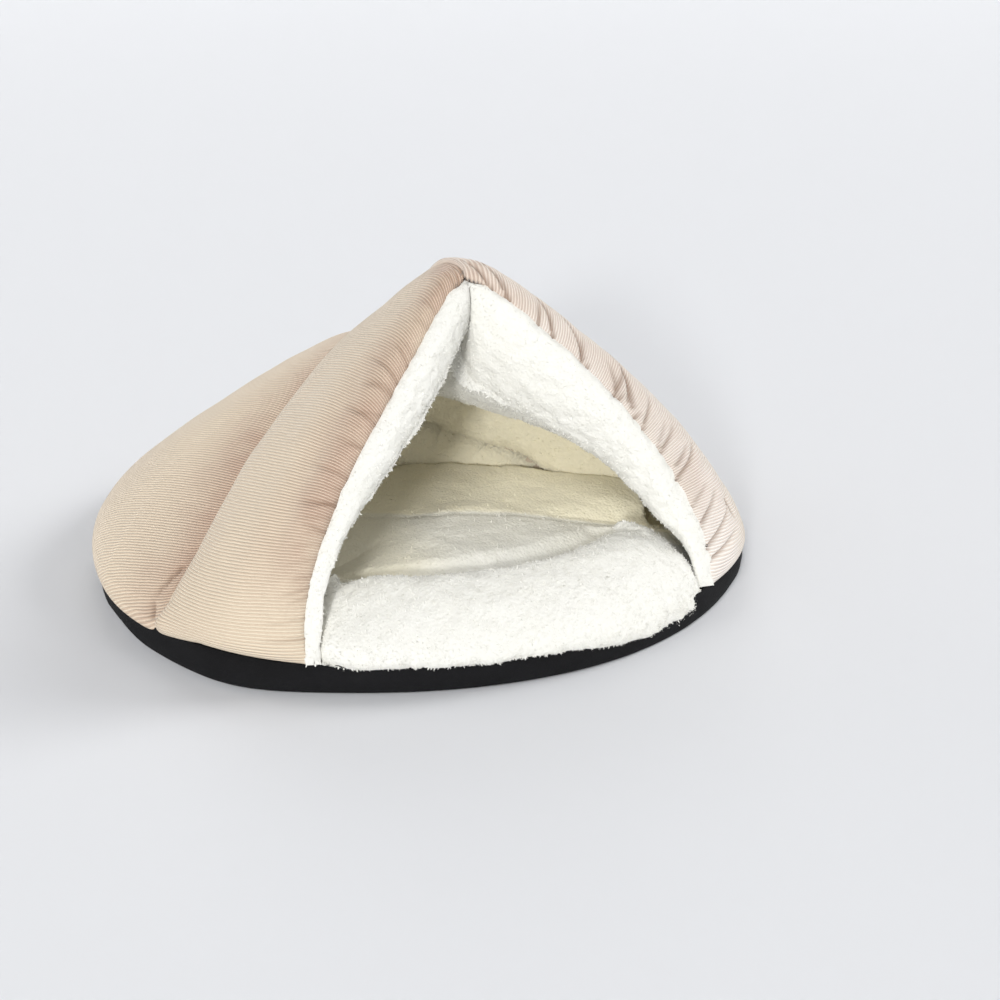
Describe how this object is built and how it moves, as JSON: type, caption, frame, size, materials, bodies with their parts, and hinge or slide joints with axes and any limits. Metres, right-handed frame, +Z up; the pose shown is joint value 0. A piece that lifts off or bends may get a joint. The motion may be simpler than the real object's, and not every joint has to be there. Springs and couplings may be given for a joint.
{
  "type": "slipper-shaped pet bed",
  "caption": "Soft pet bed shaped like a slipper: padded ribbed hood over a fleece cave, with a cushion floor and a low bolster across the mouth.",
  "frame": {"origin": "on the flat underside, below the spine of the hood, at the widest place of the oval base", "axes": "+Z up from the floor, -Y out of the mouth, +X to the right of someone who looks out of the mouth from behind the bed"},
  "size_m": [0.4959, 0.494, 0.2552],
  "materials": {
    "base_cloth": "matt black coarse non-slip cloth",
    "ribbed_cloth": "beige cloth with fine raised ribs",
    "fleece": "cream short curly fleece"
  },
  "bodies": {
    "root": {"sole": "base_cloth", "outer_left": "ribbed_cloth", "outer_right": "ribbed_cloth", "lining_left": "fleece", "lining_right": "fleece", "floor_pad": "fleece", "front_lip": "fleece"}
  },
  "joints": []
}
